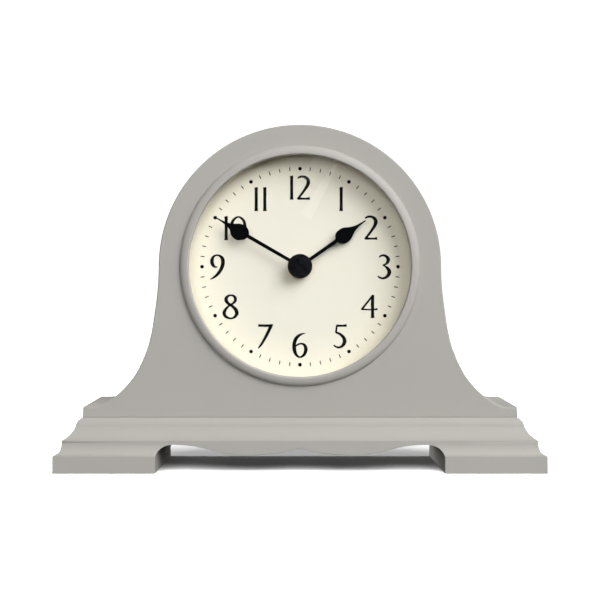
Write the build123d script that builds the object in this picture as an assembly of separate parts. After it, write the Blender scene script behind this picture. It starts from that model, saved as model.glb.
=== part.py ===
from build123d import *
import os
from math import acos, cos, pi, radians, sin, tan

# Painted tambour shelf clock with a battery movement.
# Millimetres, +Z up, the dial faces -Y, the origin is under the middle of the clock.

# Overall sizes, taken across the feet
base_width = 250.0
base_depth = 61.0

# Feet: two full-depth blocks, coved along the front and the outer end
foot_height = 16.2
foot_band = 8.75
foot_cove_width = 3.8
foot_cove_height = 6.25
foot_gap = 146.4
foot_arch_width = 8.6
foot_arch_height = 6.4
foot_bridge = 2.15

# Apron: the shaped board between the feet, its lower edge given from the middle outwards
apron_thickness = 8.0
apron_drop = 5.2
apron_edge_shares = ((0.0, 0.62), (0.1, 0.35), (0.21, 0.13), (0.37, 0.0), (0.51, 0.05), (0.62, 0.24),
                     (0.73, 0.59), (0.83, 0.86), (1.0, 1.0))

# Plinth: one board with a cove and a round run along the front and both ends
plinth_thickness = 10.9
plinth_cove_width = 5.8
plinth_cove_height = 6.6
plinth_cove_sag = 0.88
plinth_step = 0.3
plinth_round_width = 3.0
plinth_round_sag = 0.62

# Case: a front board, a solid bored rim and a back board of one outline
front_thickness = 10.0
back_thickness = 6.0
rim_wall = 7.2
case_floor = 12.3
case_edge_round = 0.8
wing_height = 5.2
wing_flat = 5.4
swoop_shares = ((0.056, 0.683), (0.186, 0.4), (0.427, 0.187), (0.719, 0.059))
access_radius = 44.0

# Bezel, lens and the ring that holds the lens
bezel_opening = 57.3
bezel_inner_width = 0.8
bezel_outer_width = 4.0
bezel_height = 2.8
bezel_edge = 0.4
lip_width = 1.5
lip_height = 1.6
lens_seat_height = 0.2
spigot_wall = 2.1
spigot_depth = 6.0
spigot_clearance = 0.1
lens_thickness = 2.0
lens_clearance = 0.1
ring_depth = 1.0
ring_width = 0.8

# Dial
dial_thickness = 1.0
dial_margin = 4.4
dial_clearance = 0.6

# Screws: the wood screws are countersunk, the small ones have pan heads
screw_clearance = 0.1
screw_tip = 1.5
recess_length_share = 1.2
recess_width_share = 0.26
recess_depth_share = 0.6
wood_screw_radius = 1.5
wood_head_radius = 3.0
wood_head_height = 1.6
back_screw_length = 16.0
back_screw_angle = 45.0
back_screw_inset = 24.0
back_screw_height = 8.0
plinth_screw_length = 25.0
plinth_screw_spacing = 90.0
plinth_screw_row = 18.0
small_screw_radius = 0.9
small_head_radius = 1.8
small_head_height = 1.0
small_screw_length = 6.0
dial_screw_count = 4
dial_screw_angle = 45.0

# Bush, nut and gasket that clamp the movement to the dial
bush_radius = 4.0
bush_clearance = 0.1
bush_overhang = 0.3
washer_thickness = 0.5
washer_radius = 6.0
nut_thickness = 2.0
nut_flats = 10.0
gasket_thickness = 1.0
gasket_radius = 12.0

# Hands: the hour and minute hands share one rod and drop; the minute hand's needle runs further out
hour_reach = 27.5
minute_reach = 35.5
minute_needle = 1.3
hour_angle = 55.0
minute_angle = 300.0
rod_width = 1.7
drop_half_width = 3.95
drop_tail = 4.3
drop_nose = 14.3
drop_nose_shares = ((0.89, 0.19), (0.56, 0.35), (0.35, 0.48), (0.22, 0.6), (0.13, 0.77), (0.08, 1.0))
hand_thickness = 0.5
boss_height = 0.5
boss_wall = 1.1
hand_gap = 0.4
cap_radius = 6.4
cap_thickness = 1.2
cap_chamfer = 0.4
cap_button_radius = 4.2
cap_button_height = 0.4
cap_socket = 0.7

# Movement housing
plate_thickness = 1.5
cover_thickness = 1.5
shell_wall = 1.4
shell_corner = 2.0
divider = 1.3
chamber_margin = 0.36
coil_margin = 2.6
post_radius = 1.2
screw_boss_radius = 2.0
screw_boss_inset = 3.4
bearing_radius = 1.8
bearing_height = 1.5

# Cell and its leaf contacts
battery_diameter = 14.5
battery_length = 49.3
button_length = 1.2
button_radius = 2.75
battery_clearance = 0.3
contact_room = 1.35
contact_thickness = 0.4
contact_width = 8.0
contact_pad_share = 0.3
contact_gap = 0.1

# Gear train: teeth are straight-flanked involutes with backlash
pressure_angle = radians(20.0)
addendum_share = 0.9
dedendum_share = 1.2
backlash_share = 0.15
train_module = 0.24
works_module = 0.375
rotor_leaves = 10
intermediate_teeth = 75
intermediate_leaves = 10
centre_teeth = 80
cannon_leaves = 12
works_teeth = 36
works_leaves = 10
hour_teeth = 40
knob_leaves = 12
intermediate_angle = 30.0
rotor_angle = 20.0
works_angle = 135.0
knob_angle = 160.0
works_thickness = 1.2
train_thickness = 1.0
axial_gap = 0.5
train_gap = 0.8
pinion_overhang = 0.2
pivot_depth = 0.8
pivot_end_gap = 0.3
running_clearance = 0.05
seat_clearance = 0.02
minute_arbor_radius = 1.75
hour_tube_radius = 2.5
wheel_seat_radius = 1.2
rear_pivot_radius = 0.9
works_post_radius = 0.8
works_hub_radius = 1.5
intermediate_arbor_radius = 0.7
rotor_arbor_radius = 0.6

# Set knob
knob_arbor_radius = 1.2
knob_radius = 4.5
knob_thickness = 2.0
knob_lift = 0.6
knob_flutes = 20
flute_radius = 0.4

# Motor, board, crystal and chip
magnet_radius = 3.0
magnet_thickness = 2.0
stator_thickness = 0.8
stator_gap = 0.5
stator_half_width = 7.4
stator_half_height = 5.0
stator_leg_width = 2.9
stator_leg_length = 10.1
stator_margin = 0.26
core_width = 4.0
core_thickness = 1.0
bobbin_wall = 0.4
flange_thickness = 0.6
flange_rise = 1.5
winding_rise = 1.2
bobbin_clearance = 0.3
board_room = 2.5
board_thickness = 1.0
board_width = 29.0
board_height = 12.0
board_edge_gap = 0.6
crystal_radius = 1.0
crystal_length = 6.0
crystal_inset = 6.0
chip_size = 5.0
chip_height = 0.8

overrun = 5.0

# Planes across the clock, front to back
case_back = base_depth / 2
case_setback = foot_cove_width + plinth_cove_width + plinth_round_width
case_front = -base_depth / 2 + case_setback
panel_back = case_front + front_thickness
rim_back = case_back - back_thickness
dial_back = panel_back + dial_thickness
movement_front = dial_back + gasket_thickness
plate_back = movement_front + plate_thickness
movement_back = plate_back + battery_diameter
cover_front = movement_back - cover_thickness

# Radii about the dial's axis
lens_recess_radius = bezel_opening + lip_width
lens_radius = lens_recess_radius - lens_clearance
spigot_radius = lens_recess_radius + spigot_wall
bezel_crest_radius = bezel_opening + bezel_inner_width
bezel_radius = bezel_crest_radius + bezel_outer_width
panel_bore = spigot_radius + spigot_clearance
dial_radius = panel_bore + dial_margin
rim_bore = dial_radius + dial_clearance
arch_radius = rim_bore + rim_wall

# Heights and half widths of the case
plinth_top = foot_height + plinth_thickness
dial_height = plinth_top + case_floor + rim_bore
wing_top = plinth_top + wing_height
plinth_half = base_width / 2 - foot_cove_width
case_half = base_width / 2 - case_setback
foot_inner = foot_gap / 2 - foot_arch_width
foot_arch_top = foot_height - foot_bridge
hub = (0, dial_height)


def slab(face, front, back):
    """A flat piece drawn as seen from the front, between two planes across the clock."""
    return extrude(Plane(origin=(0, back, 0), x_dir=(1, 0, 0), z_dir=(0, -1, 0)) * face, amount=back - front)


def rod(radius, front, back, centre=hub):
    return slab(Pos(*centre) * Circle(radius), front, back)


def ring(outer, inner, front, back, centre=hub):
    return slab(Pos(*centre) * (Circle(outer) - Circle(inner)), front, back)


def panel(left, right, bottom, top):
    return Pos((left + right) / 2, (bottom + top) / 2) * Rectangle(right - left, top - bottom)


def turned(profile, centre=hub):
    """A closed profile of (radius, depth) edges turned about an axis that runs front to back."""
    plane = Plane(origin=(centre[0], 0, centre[1]), x_dir=(1, 0, 0), z_dir=(0, 0, 1))
    axis = Axis((centre[0], 0, centre[1]), (0, 1, 0))
    return revolve(plane * make_face(profile), axis)


def polar(centre, distance, angle):
    return (centre[0] + distance * cos(radians(angle)), centre[1] + distance * sin(radians(angle)))


def mirrored(piece):
    return mirror(piece, about=Plane.YZ)


# Screws, drawn with the seat of the head at the origin and the shank down -Z
def countersunk(length, clearance=0.0):
    shank = wood_screw_radius + clearance
    head = wood_head_radius + clearance
    profile = Polyline((0, 0), (head, 0), (shank, -wood_head_height), (shank, screw_tip - length),
                       (0, -length), close=True)
    return revolve(Plane.XZ * make_face(profile), Axis.Z)


def pan_head(clearance=0.0):
    shank = small_screw_radius + clearance
    head = small_head_radius + clearance
    profile = Polyline((0, small_head_height), (head, small_head_height), (head, 0), (shank, 0),
                       (shank, screw_tip - small_screw_length), (0, -small_screw_length), close=True)
    return revolve(Plane.XZ * make_face(profile), Axis.Z)


def crossed(screw, head_radius, head_height, top):
    long_side = head_radius * recess_length_share
    short_side = head_radius * recess_width_share
    depth = head_height * recess_depth_share
    recess = Pos(0, 0, top - depth) * (Rectangle(long_side, short_side) + Rectangle(short_side, long_side))
    return screw - extrude(recess, amount=overrun)


def facing_back(x, depth, z):
    return Pos(x, depth, z) * Rot(-90, 0, 0)


back_screw = crossed(countersunk(back_screw_length), wood_head_radius, wood_head_height, 0)
plinth_screw = crossed(countersunk(plinth_screw_length), wood_head_radius, wood_head_height, 0)
small_screw = crossed(pan_head(), small_head_radius, small_head_height, small_head_height)

# Places of the screws
rim_middle = rim_bore + rim_wall / 2
back_screw_spots = [polar(hub, rim_middle, back_screw_angle), polar(hub, rim_middle, 180 - back_screw_angle),
                    (case_half - back_screw_inset, plinth_top + back_screw_height),
                    (back_screw_inset - case_half, plinth_top + back_screw_height)]
back_screw_places = [facing_back(x, case_back, z) for x, z in back_screw_spots]
rim_mid_depth = (panel_back + rim_back) / 2
plinth_screw_spots = [(side * plinth_screw_spacing / 2, rim_mid_depth + row * plinth_screw_row / 2)
                      for side in (-1, 1) for row in (-1, 1)]
plinth_screw_places = [Pos(x, y, foot_height) * Rot(180, 0, 0) for x, y in plinth_screw_spots]
dial_screw_radius = panel_bore + dial_margin / 2
dial_screw_spots = [polar(hub, dial_screw_radius, dial_screw_angle + 360 / dial_screw_count * turn)
                    for turn in range(dial_screw_count)]
dial_screw_places = [facing_back(x, dial_back, z) for x, z in dial_screw_spots]


# Feet, plinth and apron
def coved_side(edge):
    """The cove at a foot's outer edge, from the plain band up to the narrower top."""
    middle = (edge, foot_band + foot_cove_height)
    return EllipticalCenterArc(middle, foot_cove_width, foot_cove_height, start_angle=180, arc_size=90)


def foot_front_view():
    edge = base_width / 2
    arch_foot = foot_arch_top - foot_arch_height
    outer = Polyline((foot_gap / 2, arch_foot), (foot_gap / 2, 0), (edge, 0), (edge, foot_band))
    neck = edge - foot_cove_width
    upper = Polyline((neck, foot_band + foot_cove_height), (neck, foot_height), (foot_inner, foot_height),
                     (foot_inner, foot_arch_top))
    arch = EllipticalCenterArc((foot_inner, arch_foot), foot_arch_width, foot_arch_height,
                               start_angle=0, arc_size=90)
    return make_face([*outer.edges(), coved_side(edge), *upper.edges(), arch])


def foot_end_view():
    """Depth to the right, the front of the foot at the far right."""
    edge = base_depth / 2
    lower = Polyline((-edge, foot_height), (-edge, 0), (edge, 0), (edge, foot_band))
    neck = edge - foot_cove_width
    upper = Polyline((neck, foot_band + foot_cove_height), (neck, foot_height), (-edge, foot_height))
    return make_face([*lower.edges(), coved_side(edge), *upper.edges()])


def along_width(face):
    """An end view, with the front to its right, drawn out across the whole width."""
    plane = Plane(origin=(-base_width / 2, 0, 0), x_dir=(0, -1, 0), z_dir=(-1, 0, 0))
    return extrude(plane * face, amount=-base_width)


foot_right = slab(foot_front_view(), -base_depth / 2, case_back) & along_width(foot_end_view())
foot_left = mirrored(foot_right)


def plinth_side(edge):
    """The moulded edge from the feet up to the case."""
    step = (edge - plinth_cove_width, foot_height + plinth_cove_height)
    shoulder = (step[0], step[1] + plinth_step)
    top = (shoulder[0] - plinth_round_width, plinth_top)
    cove = SagittaArc((edge, foot_height), step, -plinth_cove_sag)
    round_over = SagittaArc(shoulder, top, plinth_round_sag)
    return [cove, Line(step, shoulder), round_over]


def plinth_front_view():
    right = plinth_side(plinth_half)
    left = [mirrored(edge) for edge in right]
    top = Line((case_half, plinth_top), (-case_half, plinth_top))
    bottom = Line((-plinth_half, foot_height), (plinth_half, foot_height))
    return make_face([*right, *left, top, bottom])


def plinth_end_view():
    edge = base_depth / 2 - foot_cove_width
    outline = Polyline((-case_front, plinth_top), (-case_back, plinth_top), (-case_back, foot_height),
                       (edge, foot_height))
    return make_face([*plinth_side(edge), *outline.edges()])


plinth = slab(plinth_front_view(), -base_depth / 2, case_back) & along_width(plinth_end_view())
for place in plinth_screw_places:
    plinth -= place * countersunk(plinth_screw_length, screw_clearance)


def apron_face():
    low = foot_arch_top - apron_drop
    points = [(across * foot_inner, low + up * apron_drop) for across, up in apron_edge_shares]
    right = Spline(points, tangents=[(1, -apron_drop / foot_inner), (1, 0)], tangent_scalars=[1, 1])
    frame = Polyline(points[-1], (foot_inner, foot_height), (-foot_inner, foot_height),
                     (-foot_inner, foot_arch_top))
    return make_face([right, mirrored(right), *frame.edges()])


apron_front = -base_depth / 2 + foot_cove_width
apron = slab(apron_face(), apron_front, apron_front + apron_thickness)


# Case
def case_outline():
    swoop_end = case_half - wing_flat
    swoop_width = swoop_end - arch_radius
    swoop_height = dial_height - wing_top
    points = [(arch_radius + across * swoop_width, wing_top + up * swoop_height)
              for across, up in swoop_shares]
    right = Spline((arch_radius, dial_height), *points, (swoop_end, wing_top), tangents=[(0, -1), (1, 0)])
    arch = CenterArc(hub, arch_radius, start_angle=0, arc_size=180)
    wings = Polyline((swoop_end, wing_top), (case_half, wing_top), (case_half, plinth_top),
                     (-case_half, plinth_top), (-case_half, wing_top), (-swoop_end, wing_top))
    return make_face([arch, right, mirrored(right), *wings.edges()])


front_panel = slab(case_outline(), case_front, panel_back)
front_edges = front_panel.edges().filter_by_position(Axis.Y, case_front, case_front).sort_by(Axis.Z)
front_panel = fillet(front_edges[1:], case_edge_round)
front_panel -= rod(panel_bore, case_front - overrun, panel_back)
case_rim = slab(case_outline(), panel_back, rim_back) - rod(rim_bore, panel_back, rim_back)
back_panel = slab(case_outline(), rim_back, case_back) - rod(access_radius, rim_back, case_back)
for place in back_screw_places:
    case_rim -= place * countersunk(back_screw_length, screw_clearance)
    back_panel -= place * countersunk(back_screw_length, screw_clearance)
for place in plinth_screw_places:
    case_rim -= place * countersunk(plinth_screw_length, screw_clearance)
for place in dial_screw_places:
    front_panel -= place * pan_head(screw_clearance)


# Bezel, lens and ring
def bezel_profile():
    """A rounded bead outside, a lip over the lens and a spigot in the front board's bore."""
    lip_back = case_front - lens_seat_height
    spigot_back = case_front + spigot_depth
    outer = EllipticalCenterArc((bezel_crest_radius, case_front - bezel_edge), bezel_outer_width,
                                bezel_height - bezel_edge, start_angle=270, arc_size=90)
    inner = EllipticalCenterArc((bezel_crest_radius, case_front - lip_height), bezel_inner_width,
                                bezel_height - lip_height, start_angle=180, arc_size=90)
    body = Polyline((bezel_opening, case_front - lip_height), (bezel_opening, lip_back),
                    (lens_recess_radius, lip_back), (lens_recess_radius, spigot_back),
                    (spigot_radius, spigot_back), (spigot_radius, case_front), (bezel_radius, case_front),
                    (bezel_radius, case_front - bezel_edge))
    return [outer, inner, *body.edges()]


bezel = turned(bezel_profile())
lens_front = case_front - lens_seat_height
lens_back = lens_front + lens_thickness
lens = rod(lens_radius, lens_front, lens_back)
lens_ring = ring(lens_recess_radius, lens_recess_radius - ring_width, lens_back, lens_back + ring_depth)

# Dial and the clamp of the movement
dial = ring(dial_radius, bush_radius + bush_clearance, panel_back, dial_back)
for place in dial_screw_places:
    dial -= place * pan_head(screw_clearance)
washer_front = panel_back - washer_thickness
nut_front = washer_front - nut_thickness
bush_front = nut_front - bush_overhang
nut_washer = ring(washer_radius, bush_radius + bush_clearance, washer_front, panel_back)
nut_face = RegularPolygon(nut_flats / 2, side_count=6, major_radius=False)
nut_face -= Circle(bush_radius + bush_clearance)
bush_nut = slab(Pos(*hub) * nut_face, nut_front, washer_front)
threaded_bush = ring(bush_radius, hour_tube_radius + running_clearance, bush_front, plate_back)
dial_gasket = ring(gasket_radius, bush_radius + bush_clearance, dial_back, movement_front)


# Hands
def drop_face(reach, needle):
    """The drop near a hand's end: a round tail and a nose that runs out to a needle."""
    tail = EllipticalCenterArc((0, reach), drop_half_width, drop_tail, start_angle=270, arc_size=90)
    points = [(across * drop_half_width, reach + along * drop_nose) for across, along in drop_nose_shares]
    points[-1] = (points[-1][0], points[-1][1] + needle)
    nose = Spline((drop_half_width, reach), *points, tangents=[(0, 1), (0, 1)])
    tip = Line(points[-1], (-points[-1][0], points[-1][1]))
    return make_face([tail, nose, tip, mirrored(nose), mirrored(tail)])


def hand(reach, needle, angle, bore, back):
    """A flat hand on a raised boss, turned clockwise from twelve."""
    blade_back = back - boss_height
    blade_front = blade_back - hand_thickness
    rod_length = reach - drop_tail / 2
    blade = drop_face(reach, needle) + Pos(0, rod_length / 2) * Rectangle(rod_width, rod_length)
    blade += Circle(bore + boss_wall)
    blade = slab(Pos(*hub) * Rot(0, 0, -angle) * blade, blade_front, blade_back)
    return blade + rod(bore + boss_wall, blade_back, back) - rod(bore, blade_front, back)


hour_hand_back = bush_front - hand_gap
hour_hand_front = hour_hand_back - boss_height - hand_thickness
minute_hand_back = hour_hand_front - hand_gap
minute_hand_front = minute_hand_back - boss_height - hand_thickness
hour_hand = hand(hour_reach, 0, hour_angle, hour_tube_radius + seat_clearance, hour_hand_back)
minute_bore = minute_arbor_radius + seat_clearance
minute_hand = hand(minute_reach, minute_needle, minute_angle, minute_bore, minute_hand_back)
cap_front = minute_hand_front - cap_thickness
cap_profile = Polyline((0, minute_hand_front), (cap_radius, minute_hand_front),
                       (cap_radius, cap_front + cap_chamfer), (cap_radius - cap_chamfer, cap_front),
                       (cap_button_radius + cap_chamfer, cap_front),
                       (cap_button_radius, cap_front - cap_button_height), (0, cap_front - cap_button_height),
                       close=True)
arbor_front = minute_hand_front - cap_socket
hand_cap = turned(cap_profile.edges())
hand_cap -= rod(minute_bore, arbor_front, minute_hand_front)


# Gear train
def gear(teeth, module, phase, centre, front, back):
    pitch = teeth * module / 2
    base = pitch * cos(pressure_angle)
    root = pitch - dedendum_share * module
    tip = pitch + addendum_share * module
    radii = sorted({root, max(root, base), pitch, tip})

    def half_tooth(radius):
        angle = acos(base / max(radius, base))
        return (pi / 2 - backlash_share) / teeth + tan(pressure_angle) - pressure_angle - tan(angle) + angle

    points = []
    for tooth in range(teeth):
        middle = phase + 2 * pi * tooth / teeth
        flanks = [(radius, middle - half_tooth(radius)) for radius in radii]
        flanks += [(radius, middle + half_tooth(radius)) for radius in reversed(radii)]
        points += [(radius * cos(angle), radius * sin(angle)) for radius, angle in flanks]
    return slab(Pos(*centre) * make_face(Polyline(*points, close=True)), front, back)


def meshing(phase, teeth, mate_teeth, angle):
    """The phase of a mate that lies at an angle from a wheel of a known phase."""
    line = radians(angle)
    return line + pi + pi / mate_teeth - (phase - line) * teeth / mate_teeth


hour_module = works_module * (cannon_leaves + works_teeth) / (works_leaves + hour_teeth)
works_spot = polar(hub, works_module * (cannon_leaves + works_teeth) / 2, works_angle)
knob_spot = polar(works_spot, works_module * (works_teeth + knob_leaves) / 2, knob_angle)
intermediate_spot = polar(hub, train_module * (centre_teeth + intermediate_leaves) / 2, intermediate_angle)
rotor_spot = polar(intermediate_spot, train_module * (intermediate_teeth + rotor_leaves) / 2, rotor_angle)

works_phase = meshing(0, cannon_leaves, works_teeth, works_angle)
knob_phase = meshing(works_phase, works_teeth, knob_leaves, knob_angle)
hour_phase = meshing(0, works_leaves, hour_teeth, works_angle + 180)
intermediate_phase = meshing(0, centre_teeth, intermediate_leaves, intermediate_angle)
rotor_phase = meshing(0, intermediate_teeth, rotor_leaves, rotor_angle)

hour_level = plate_back + axial_gap
works_level = hour_level + works_thickness + axial_gap
centre_level = works_level + works_thickness + train_gap
intermediate_level = centre_level + train_thickness + train_gap
magnet_level = intermediate_level + train_thickness + pinion_overhang + axial_gap
pivot_front = plate_back - pivot_depth
pivot_back = cover_front - pivot_end_gap

hour_wheel = gear(hour_teeth, hour_module, hour_phase, hub, hour_level, hour_level + works_thickness)
hour_wheel += rod(hour_tube_radius, hour_hand_front, hour_level)
hour_wheel -= rod(minute_arbor_radius + running_clearance, hour_hand_front, hour_level + works_thickness)

minute_arbor = rod(minute_arbor_radius, arbor_front, works_level)
minute_arbor += gear(cannon_leaves, works_module, 0, hub, works_level, works_level + works_thickness)
minute_arbor += rod(minute_arbor_radius, works_level + works_thickness, centre_level)
minute_arbor += rod(wheel_seat_radius, centre_level, centre_level + train_thickness)
minute_arbor += rod(rear_pivot_radius, centre_level + train_thickness, pivot_back)
centre_wheel = gear(centre_teeth, train_module, 0, hub, centre_level, centre_level + train_thickness)
centre_wheel -= rod(wheel_seat_radius + seat_clearance, centre_level, centre_level + train_thickness)

works_back = works_level + works_thickness
minute_works_wheel = gear(works_leaves, hour_module, 0, works_spot, hour_level, hour_level + works_thickness)
minute_works_wheel += rod(works_hub_radius, hour_level + works_thickness, works_level, works_spot)
minute_works_wheel += gear(works_teeth, works_module, works_phase, works_spot, works_level, works_back)
minute_works_wheel -= rod(works_post_radius + running_clearance, hour_level, works_back, works_spot)

intermediate_wheel = gear(intermediate_teeth, train_module, 0, intermediate_spot, intermediate_level,
                          intermediate_level + train_thickness)
intermediate_wheel += gear(intermediate_leaves, train_module, intermediate_phase, intermediate_spot,
                           centre_level - pinion_overhang, centre_level + train_thickness + pinion_overhang)
intermediate_wheel += rod(intermediate_arbor_radius, pivot_front, pivot_back, intermediate_spot)

rotor_pinion = gear(rotor_leaves, train_module, rotor_phase, rotor_spot,
                    intermediate_level - pinion_overhang,
                    intermediate_level + train_thickness + pinion_overhang)
rotor_pinion += rod(rotor_arbor_radius, pivot_front, pivot_back, rotor_spot)
rotor_magnet = ring(magnet_radius, rotor_arbor_radius + seat_clearance, magnet_level,
                    magnet_level + magnet_thickness, rotor_spot)

knob_front = movement_back + knob_lift
knob_face = Circle(knob_radius) - PolarLocations(knob_radius, knob_flutes) * Circle(flute_radius)
set_knob = gear(knob_leaves, works_module, knob_phase, knob_spot, works_level, works_back)
set_knob += rod(knob_arbor_radius, pivot_front, knob_front, knob_spot)
set_knob += slab(Pos(*knob_spot) * knob_face, knob_front, knob_front + knob_thickness)

# Motor: the stator round the magnet, and the coil across the ends of its legs
stator_front = magnet_level + (magnet_thickness - stator_thickness) / 2
stator_back = stator_front + stator_thickness
leg_left = rotor_spot[0] - stator_half_width
leg_right = rotor_spot[0] + stator_half_width
yoke_top = rotor_spot[1] + stator_half_height
leg_top = yoke_top + stator_leg_length
stator_face = panel(leg_left, leg_right, rotor_spot[1] - stator_half_height, yoke_top)
stator_face += panel(leg_left, leg_left + stator_leg_width, yoke_top, leg_top)
stator_face += panel(leg_right - stator_leg_width, leg_right, yoke_top, leg_top)
stator_face -= Pos(*rotor_spot) * Circle(magnet_radius + stator_gap)
stator = slab(stator_face, stator_front, stator_back)

core_back = stator_back + core_thickness
core_bottom = leg_top - core_width
coil_core = slab(panel(leg_left, leg_right, core_bottom, leg_top), stator_back, core_back)
bobbin_left = leg_left + stator_leg_width + bobbin_clearance
bobbin_right = leg_right - stator_leg_width - bobbin_clearance


def round_core(left, right, rise):
    """A block round the core, standing out from its bobbin by a rise, with the core's way through it."""
    grow = bobbin_wall + rise
    return slab(panel(left, right, core_bottom - grow, leg_top + grow), stator_back - grow, core_back + grow)


core_way = slab(panel(leg_left, leg_right, core_bottom, leg_top), stator_back, core_back)
winding_left = bobbin_left + flange_thickness
winding_right = bobbin_right - flange_thickness
coil_bobbin = round_core(bobbin_left, bobbin_right, 0) + round_core(bobbin_left, winding_left, flange_rise)
coil_bobbin += round_core(winding_right, bobbin_right, flange_rise)
coil_bobbin -= core_way
coil_winding = round_core(winding_left, winding_right, winding_rise)
coil_winding -= round_core(winding_left, winding_right, 0)

# Housing: its inside is as wide as the cell with its contacts, or the motor, whichever is more
bay_half = max((battery_length + button_length) / 2 + contact_room, leg_right + stator_margin)
shell_half = bay_half + shell_wall
centre_tip = train_module * (centre_teeth / 2 + addendum_share)
chamber_bottom = dial_height - centre_tip - chamber_margin
chamber_top = leg_top + coil_margin
bay_top = chamber_bottom - divider
bay_bottom = bay_top - battery_diameter - 2 * battery_clearance
shell_bottom = bay_bottom - shell_wall
shell_top = chamber_top + shell_wall
board_front = cover_front - board_room
board_back = board_front + board_thickness
board_left = board_edge_gap - bay_half
board_right = board_left + board_width
board_top = chamber_top - board_edge_gap
board_bottom = board_top - board_height

shell_face = RectangleRounded(2 * shell_half, shell_top - shell_bottom, shell_corner)
shell_face = Pos(0, (shell_bottom + shell_top) / 2) * shell_face
cover_face = shell_face & panel(-shell_half, shell_half, bay_top, shell_top)
boss_edge = bay_half - screw_boss_inset
boss_low = chamber_bottom + screw_boss_inset
boss_middle = (board_right + bobbin_left) / 2
cover_screw_spots = [(-boss_edge, boss_low), (boss_edge, boss_low),
                     (boss_middle, chamber_top - screw_boss_inset)]
cover_screw_places = [facing_back(x, movement_back, z) for x, z in cover_screw_spots]
board_post_spots = [(board_left + screw_boss_inset, board_top - screw_boss_inset),
                    (board_right - screw_boss_inset, board_top - screw_boss_inset)]
leg_middle_height = leg_top - core_width / 2
stator_post_spots = [(leg_left + stator_leg_width / 2, leg_middle_height),
                     (leg_right - stator_leg_width / 2, leg_middle_height),
                     (leg_right - stator_leg_width / 2, rotor_spot[1] - stator_half_height + post_radius)]
pivot_radii = {intermediate_spot: intermediate_arbor_radius, rotor_spot: rotor_arbor_radius,
               knob_spot: knob_arbor_radius}

movement_case = slab(shell_face, movement_front, movement_back)
movement_case -= slab(cover_face, cover_front, movement_back)
movement_case -= slab(panel(-bay_half, bay_half, chamber_bottom, chamber_top), plate_back, cover_front)
movement_case -= slab(panel(-bay_half, bay_half, bay_bottom, bay_top), plate_back, movement_back)
movement_case += rod(works_post_radius, plate_back, works_back + axial_gap, works_spot)
for spot in board_post_spots:
    movement_case += rod(post_radius, plate_back, board_front, spot)
for spot in stator_post_spots:
    movement_case += rod(post_radius, plate_back, stator_front, spot)
for spot in cover_screw_spots:
    movement_case += rod(screw_boss_radius, plate_back, cover_front, spot)
movement_case -= rod(bush_radius + seat_clearance, movement_front, plate_back)
for spot, radius in pivot_radii.items():
    movement_case -= rod(radius + running_clearance, pivot_front - axial_gap / 2, plate_back, spot)
for place in cover_screw_places:
    movement_case -= place * pan_head(screw_clearance)

movement_cover = slab(cover_face, cover_front, movement_back)
for spot in (hub, intermediate_spot, rotor_spot):
    movement_cover += rod(bearing_radius, cover_front - bearing_height, cover_front, spot)
bearing_radii = {hub: rear_pivot_radius, intermediate_spot: intermediate_arbor_radius,
                 rotor_spot: rotor_arbor_radius}
for spot, radius in bearing_radii.items():
    movement_cover -= rod(radius + running_clearance, cover_front - bearing_height, cover_front, spot)
movement_cover -= rod(knob_arbor_radius + running_clearance, cover_front, movement_back, knob_spot)
for place in cover_screw_places:
    movement_cover -= place * pan_head(screw_clearance)

# Board with the crystal on its front and the chip on its back
circuit_board = slab(panel(board_left, board_right, board_bottom, board_top), board_front, board_back)
board_middle_height = (board_bottom + board_top) / 2
crystal_spot = (board_left + crystal_inset, board_middle_height)
quartz_crystal = rod(crystal_radius, board_front - crystal_length, board_front, crystal_spot)
chip_face = Pos((board_left + board_right) / 2, board_middle_height) * Rectangle(chip_size, chip_size)
clock_chip = slab(chip_face, board_back, board_back + chip_height)

# Cell, lying across the bay with its button to the right
cell_height = (bay_bottom + bay_top) / 2
cell_depth = plate_back + battery_clearance + battery_diameter / 2
cell_left = -(battery_length + button_length) / 2
cell_seat = Plane(origin=(cell_left, cell_depth, cell_height), x_dir=(0, 1, 0), z_dir=(1, 0, 0))
battery = extrude(cell_seat * Circle(battery_diameter / 2), amount=battery_length)
battery += extrude(cell_seat * Circle(button_radius), amount=battery_length + button_length)


def leaf_contact():
    """A strip bowed from the bay's right wall towards the cell, held at both ends."""
    low = bay_bottom + battery_clearance
    high = bay_top - battery_clearance
    pad = (high - low) * contact_pad_share / 2
    face_x = -cell_left + contact_gap
    near = [(bay_half - contact_thickness, low), (face_x, cell_height - pad), (face_x, cell_height + pad),
            (bay_half - contact_thickness, high)]
    far = [(x + contact_thickness, z) for x, z in reversed(near)]
    strip = make_face(Polyline(*near, *far, close=True))
    return slab(strip, cell_depth - contact_width / 2, cell_depth + contact_width / 2)


contact_positive = leaf_contact()
contact_negative = mirrored(contact_positive)

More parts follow.
